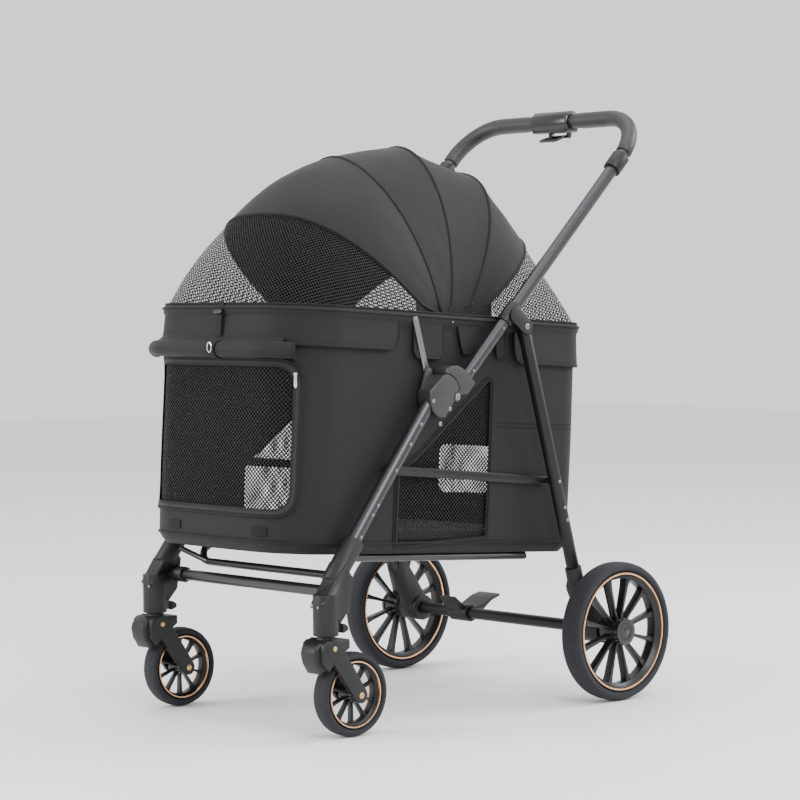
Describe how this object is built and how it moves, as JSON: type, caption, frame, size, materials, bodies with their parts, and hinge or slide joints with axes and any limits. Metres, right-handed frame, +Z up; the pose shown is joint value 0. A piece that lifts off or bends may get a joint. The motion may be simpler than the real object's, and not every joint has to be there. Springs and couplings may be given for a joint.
{
  "type": "pet stroller",
  "caption": "Folding pet stroller: tube frame, hinged knuckles, closed fabric carrier with an arched folding canopy, swivel front casters and large spoked rear wheels.",
  "frame": {"origin": "middle of the bounding box at ground level", "axes": "+Z up, front of the stroller towards -Y, its left side at +X"},
  "size_m": [0.604, 0.8518, 1.0377],
  "materials": {
    "gunmetal_tube": "satin dark grey",
    "black_moulding": "satin black",
    "dark_steel": "dark brushed",
    "tyre_rubber": "matte, fine diamond tread",
    "grip_leatherette": "fine grain",
    "charcoal_fabric": "plain woven",
    "black_net": "open net"
  },
  "bodies": {
    "chassis": {"front_tube_left": "gunmetal_tube", "caster_housing_left": "black_moulding", "knuckle_lower_left": "black_moulding", "rail_link_left": "dark_steel", "front_tube_right": "gunmetal_tube", "caster_housing_right": "black_moulding", "knuckle_lower_right": "black_moulding", "rail_link_right": "dark_steel", "front_crossbar": "gunmetal_tube", "carrier_cradle": "gunmetal_tube", "rim_rail": "dark_steel", "carrier_shell": "charcoal_fabric", "floor_pad": "charcoal_fabric", "window_flap_roll": "charcoal_fabric", "rear_pouch": "charcoal_fabric", "bow_rear": "dark_steel", "canopy_rear_net": "black_net"},
    "upper_frame": {"knuckle_upper_left": "black_moulding", "upper_tube_left": "gunmetal_tube", "handle_collar_left": "black_moulding", "grip_left": "grip_leatherette", "leg_bracket_left": "dark_steel", "knuckle_upper_right": "black_moulding", "upper_tube_right": "gunmetal_tube", "handle_collar_right": "black_moulding", "grip_right": "grip_leatherette", "leg_bracket_right": "dark_steel", "handle_bar": "gunmetal_tube", "trigger_housing": "black_moulding"},
    "fold_trigger_body": {"fold_trigger": "black_moulding"},
    "rear_legs": {"rear_leg_left": "gunmetal_tube", "rear_foot_left": "black_moulding", "rear_leg_right": "gunmetal_tube", "rear_foot_right": "black_moulding", "rear_axle_tube": "gunmetal_tube"},
    "brake_pedal_body": {"brake_pedal": "black_moulding"},
    "brace_pair": {"brace_left": "dark_steel", "brace_right": "dark_steel"},
    "bow_rear_crown_body": {"bow_rear_crown": "dark_steel", "canopy_panel_rear_crown": "charcoal_fabric"},
    "bow_crown_body": {"bow_crown": "dark_steel", "canopy_panel_crown": "charcoal_fabric"},
    "bow_crown_front_body": {"bow_crown_front": "dark_steel", "canopy_panel_crown_front": "charcoal_fabric"},
    "bow_front_body": {"bow_front": "dark_steel", "canopy_panel_front": "charcoal_fabric", "canopy_front_net": "black_net"},
    "rear_wheel_left": {"rear_rim_left": "black_moulding", "rear_tyre_left": "tyre_rubber"},
    "caster_left": {"caster_fork_left": "black_moulding"},
    "front_wheel_left": {"front_rim_left": "black_moulding", "front_tyre_left": "tyre_rubber"},
    "swivel_lock_left_body": {"swivel_lock_left": "black_moulding"},
    "rear_wheel_right": {"rear_rim_right": "black_moulding", "rear_tyre_right": "tyre_rubber"},
    "caster_right": {"caster_fork_right": "black_moulding"},
    "front_wheel_right": {"front_rim_right": "black_moulding", "front_tyre_right": "tyre_rubber"},
    "swivel_lock_right_body": {"swivel_lock_right": "black_moulding"}
  },
  "joints": [
    {"name": "fold_hinge", "type": "hinge", "parent": "chassis", "child": "upper_frame", "pos_m": [0, -0.07493, 0.536], "axis": [-1, 0, 0], "range_deg": [0, 120]},
    {"name": "leg_hinge", "type": "hinge", "parent": "upper_frame", "child": "rear_legs", "pos_m": [0, 0.08707, 0.65], "axis": [-1, 0, 0], "range_deg": [-96, 0]},
    {"name": "brace_hinge", "type": "hinge", "parent": "chassis", "child": "brace_pair", "pos_m": [0, -0.20893, 0.4209], "axis": [-1, 0, 0], "range_deg": [0, 67]},
    {"name": "trigger_hinge", "type": "hinge", "parent": "upper_frame", "child": "fold_trigger_body", "pos_m": [0, 0.4199, 0.99382], "axis": [-1, 0, 0], "range_deg": [0, 12], "stiffness_Nm_per_rad": 0.4},
    {"name": "brake_pedal_hinge", "type": "hinge", "parent": "rear_legs", "child": "brake_pedal_body", "pos_m": [0, 0.26107, 0.12], "axis": [-1, 0, 0], "range_deg": [0, 20]},
    {"name": "bow_rear_crown_hinge", "type": "hinge", "parent": "chassis", "child": "bow_rear_crown_body", "pos_m": [0, -0.05943, 0.664], "axis": [-1, 0, 0], "range_deg": [0, 14], "deforming": ["canopy_panel_rear_crown"]},
    {"name": "bow_crown_hinge", "type": "hinge", "parent": "bow_rear_crown_body", "child": "bow_crown_body", "pos_m": [0, -0.05943, 0.664], "axis": [-1, 0, 0], "range_deg": [0, 15.1], "deforming": ["canopy_panel_crown"]},
    {"name": "bow_crown_front_hinge", "type": "hinge", "parent": "bow_crown_body", "child": "bow_crown_front_body", "pos_m": [0, -0.05943, 0.664], "axis": [-1, 0, 0], "range_deg": [0, 17.2], "deforming": ["canopy_panel_crown_front"]},
    {"name": "bow_front_hinge", "type": "hinge", "parent": "bow_crown_front_body", "child": "bow_front_body", "pos_m": [0, -0.05943, 0.664], "axis": [-1, 0, 0], "range_deg": [0, 22.9], "deforming": ["canopy_panel_front", "canopy_front_net"]},
    {"name": "rear_wheel_left_spin", "type": "hinge", "parent": "rear_legs", "child": "rear_wheel_left", "pos_m": [0.278, 0.26107, 0.12], "axis": [1, 0, 0], "continuous": true},
    {"name": "caster_left_swivel", "type": "hinge", "parent": "chassis", "child": "caster_left", "pos_m": [0.223, -0.35743, 0.18], "axis": [0, 0, 1], "continuous": true},
    {"name": "front_wheel_left_spin", "type": "hinge", "parent": "caster_left", "child": "front_wheel_left", "pos_m": [0.223, -0.30693, 0.068], "axis": [1, 0, 0], "continuous": true},
    {"name": "swivel_lock_left_hinge", "type": "hinge", "parent": "chassis", "child": "swivel_lock_left_body", "pos_m": [0.223, -0.33193, 0.1765], "axis": [1, 0, 0], "range_deg": [0, 30]},
    {"name": "rear_wheel_right_spin", "type": "hinge", "parent": "rear_legs", "child": "rear_wheel_right", "pos_m": [-0.278, 0.26107, 0.12], "axis": [1, 0, 0], "continuous": true},
    {"name": "caster_right_swivel", "type": "hinge", "parent": "chassis", "child": "caster_right", "pos_m": [-0.223, -0.35743, 0.18], "axis": [0, 0, 1], "continuous": true},
    {"name": "front_wheel_right_spin", "type": "hinge", "parent": "caster_right", "child": "front_wheel_right", "pos_m": [-0.223, -0.30693, 0.068], "axis": [1, 0, 0], "continuous": true},
    {"name": "swivel_lock_right_hinge", "type": "hinge", "parent": "chassis", "child": "swivel_lock_right_body", "pos_m": [-0.223, -0.33193, 0.1765], "axis": [1, 0, 0], "range_deg": [0, 30]}
  ],
  "couplings": [
    {"joint": "leg_hinge", "follows": "fold_hinge", "ratio": -0.798},
    {"joint": "brace_hinge", "follows": "fold_hinge", "ratio": 0.558},
    {"joint": "bow_crown_hinge", "follows": "bow_rear_crown_hinge", "ratio": 1.05},
    {"joint": "bow_crown_front_hinge", "follows": "bow_rear_crown_hinge", "ratio": 1.2},
    {"joint": "bow_front_hinge", "follows": "bow_rear_crown_hinge", "ratio": 1.6}
  ]
}
